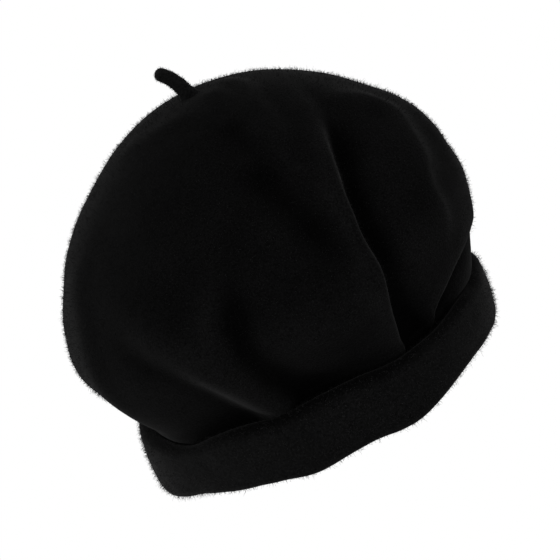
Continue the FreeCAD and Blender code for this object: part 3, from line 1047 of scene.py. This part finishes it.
def sew_sweatband(material):
    """Long stitches along the ribbon, and short ones across the join of its ends."""
    face = HEAD_RADIUS - 0.1
    azimuths = np.arange(96) * 360 / 96
    along = ring_stitches(face, azimuths, band_bottom(azimuths) + 2.4, 3.6)
    sew("sweatband", along, material)
    join = ring_stitches(face, [90] * len(JOIN_HEIGHTS), JOIN_HEIGHTS, 4.4)
    sew("sweatband_join", join, material)


def sew_size_tab(azimuth, radius, material):
    """Two stitches side by side through the tab."""
    stitches = ring_stitches(radius, [azimuth - 1.8, azimuth + 1.8], [BAND_HIGH.z + 2.3] * 2, 3.0)
    sew("size_tab", stitches, material)


def sew_cuff(material):
    """Slanting stitches over the hidden seam, and tacks from the crown to the tucked edge."""
    seam = []
    for azimuth in np.arange(60) * 6:
        height = seam_height(azimuth)
        low = place(azimuth, SKIRT_OUTER, height - 2.2)
        high = place(azimuth + 1.5, SKIRT_OUTER, height + 2.4)
        seam.append(stitch(low, high, place(azimuth, 0.35, 0.0)))
    sew("cuff_seam", seam, material)
    tacks = []
    for azimuth in TACKS:
        height = cuff_top(azimuth) - 8
        start = place(azimuth, SKIRT_OUTER - 1.2, height)
        end = place(azimuth, HIGH_WALL - 2 * ROLL_RADIUS, height)
        tacks.append(stitch(start, end, (0, 0, 0.3)))
    sew("cuff_tack", tacks, material)


def nearest_inside(inner, target):
    """The point of the crown's inner face that is nearest to a target."""
    points = inner.reshape(-1, 3)
    return points[((points - np.array(target)) ** 2).sum(axis=1).argmin()]


def sew_stalk(inner, material):
    """Stitches like spokes round the stalk's root, inside the crown."""
    spokes = []
    for azimuth in np.arange(8) * 45:
        near = nearest_inside(inner, place(azimuth, 6.0, CROWN_TOP - FELT))
        far = nearest_inside(inner, place(azimuth, 9.5, CROWN_TOP - FELT - 0.6))
        spokes.append(stitch(near, far, (0, 0, -0.35)))
    sew("stalk", spokes, material)


def sew_care_label(inner, material):
    """Three stitches from the label's hem to the crown."""
    hold = []
    for x in (-11.0, 0.0, 11.0):
        wall = nearest_inside(inner, (x, LABEL_PIVOT.y + 3, LABEL_PIVOT.z + 1.5))
        hem = (x, LABEL_PIVOT.y + 0.3, LABEL_PIVOT.z + LABEL_HEM + 0.25)
        hold.append(stitch(wall, hem, (0, 0, 0.5)))
    sew("care_label", hold, material)


# -------- studio

CAMERA_ELEVATION = 17.5
CAMERA_ROLL = 25.8
CAMERA_DISTANCE = 1.6
CAMERA_TARGET = Vector((0.0016, -0.0056, 0.0722))
CAMERA_LENS = 185.9

# the room is dimmer away from its bright side
AMBIENT = 0.75
DIM = 0.2
BRIGHT_SIDE = (-0.5, 0.9, 0.35)
DIM_RANGE = (-0.7, 0.9)

FLOOR_GLOW = 0.1


def make_camera():
    """A long lens from the front, a little above, rolled so that the hat leans to the left."""
    rise = math.radians(CAMERA_ELEVATION)
    back = Vector((0, -math.cos(rise), math.sin(rise)))
    camera_data = bpy.data.cameras.new("camera")
    camera_data.lens = CAMERA_LENS
    camera_data.clip_start = 0.05
    camera = bpy.data.objects.new("camera", camera_data)
    bpy.context.scene.collection.objects.link(camera)
    roll = Matrix.Rotation(math.radians(-CAMERA_ROLL), 3, "Z").to_quaternion()
    camera.rotation_mode = "QUATERNION"
    camera.rotation_quaternion = back.to_track_quat("Z", "Y") @ roll
    camera.location = CAMERA_TARGET + back * CAMERA_DISTANCE
    bpy.context.scene.camera = camera


def camera_or_other(tree, seen, other):
    """Mixes two shaders: what the camera sees directly, and what lights the hat."""
    path = tree.nodes.new("ShaderNodeLightPath")
    mix = tree.nodes.new("ShaderNodeMixShader")
    tree.links.new(path.outputs["Is Camera Ray"], mix.inputs["Fac"])
    tree.links.new(other, mix.inputs[1])
    tree.links.new(seen, mix.inputs[2])
    return mix.outputs["Shader"]


def make_world():
    """A white room: pure white to the eye, softer as a light."""
    world = bpy.data.worlds.new("studio")
    world.use_nodes = True
    tree = world.node_tree
    lighting = tree.nodes["Background"]
    lighting.inputs["Strength"].default_value = AMBIENT
    direction = tree.nodes.new("ShaderNodeVectorMath")
    direction.operation = "DOT_PRODUCT"
    direction.inputs[1].default_value = Vector(BRIGHT_SIDE).normalized()
    tree.links.new(tree.nodes.new("ShaderNodeTexCoord").outputs["Generated"], direction.inputs[0])
    dim = tree.nodes.new("ShaderNodeMapRange")
    tree.links.new(direction.outputs["Value"], dim.inputs["Value"])
    values = {"From Min": DIM_RANGE[0], "From Max": DIM_RANGE[1], "To Min": DIM, "To Max": 1.0}
    for socket, value in values.items():
        dim.inputs[socket].default_value = value
    tree.links.new(dim.outputs["Result"], lighting.inputs["Color"])
    seen = tree.nodes.new("ShaderNodeBackground")
    seen.inputs["Color"].default_value = (1, 1, 1, 1)
    mixed = camera_or_other(tree, seen.outputs["Background"], lighting.outputs["Background"])
    tree.links.new(mixed, tree.nodes["World Output"].inputs["Surface"])
    bpy.context.scene.world = world


def make_floor():
    """A plain pale floor that looks like white paper."""
    nodes = Nodes("white_paper")
    nodes.finish(Base_Color=(0.85, 0.85, 0.85, 1), Roughness=0.9)
    nodes.finish(Emission_Color=(1, 1, 1, 1), Emission_Strength=FLOOR_GLOW)
    seen = nodes.tree.nodes.new("ShaderNodeEmission")
    mixed = camera_or_other(nodes.tree, seen.outputs["Emission"], nodes.shader.outputs["BSDF"])
    nodes.tree.links.new(mixed, nodes.tree.nodes["Material Output"].inputs["Surface"])
    half = 3000
    height = -16
    corners = [(x * half, y * half, height) for x, y in [(-1, -1), (1, -1), (1, 1), (-1, 1)]]
    floor = make_object("floor", corners, [[0, 1, 2, 3]], nodes.material)


# -------- everything

crown_material = felt("felt_crown", grey=0.041, grain=1050, sheen=0.055)
# painted light: the cuff's and the stalk's felt are lighter copies of the crown's, for the brighter sheen
# of their nap
cuff_sheen_lit_material = felt("felt_cuff_painted_sheen", grey=0.074, grain=860, sheen=0.09)
stalk_glow_lit_material = felt("felt_stalk_painted_glow", grey=0.105, grain=1200, sheen=0.14)
thread_material = polyester_thread("thread_black", grey=0.012)
satin_material = woven_satin("satin_white", (0.62, 0.61, 0.58))
# painted light: the nap fibres are lighter copies of the felt, for the glow of backlit fuzz
crown_nap_glow_lit_material = felt("nap_crown_painted_glow", grey=0.1, grain=1050, sheen=0.055)
cuff_nap_glow_lit_material = felt("nap_cuff_painted_glow", grey=0.19, grain=860, sheen=0.09)
make_cuff(cuff_sheen_lit_material, cuff_nap_glow_lit_material)
inner_face = make_crown(crown_material, crown_nap_glow_lit_material)
make_stalk(stalk_glow_lit_material)
make_sweatband(ribbed_ribbon("grosgrain_black", grey=0.009, ribs_per_metre=1100, gloss=0.12))
bow_material = ribbed_ribbon("bow_satin_black", grey=0.010, ribs_per_metre=2200, gloss=0.3)
make_bow_loops(bow_material)
make_bow_knot(bow_material)
make_care_label(satin_material)
tab_azimuth, tab_radius = make_size_tab(satin_material)
sew_sweatband(thread_material)
sew_size_tab(tab_azimuth, tab_radius, thread_material)
sew_cuff(thread_material)
sew_stalk(inner_face, thread_material)
sew_care_label(inner_face, thread_material)

make_camera()
make_world()
make_floor()
bpy.context.scene.view_settings.view_transform = "Standard"
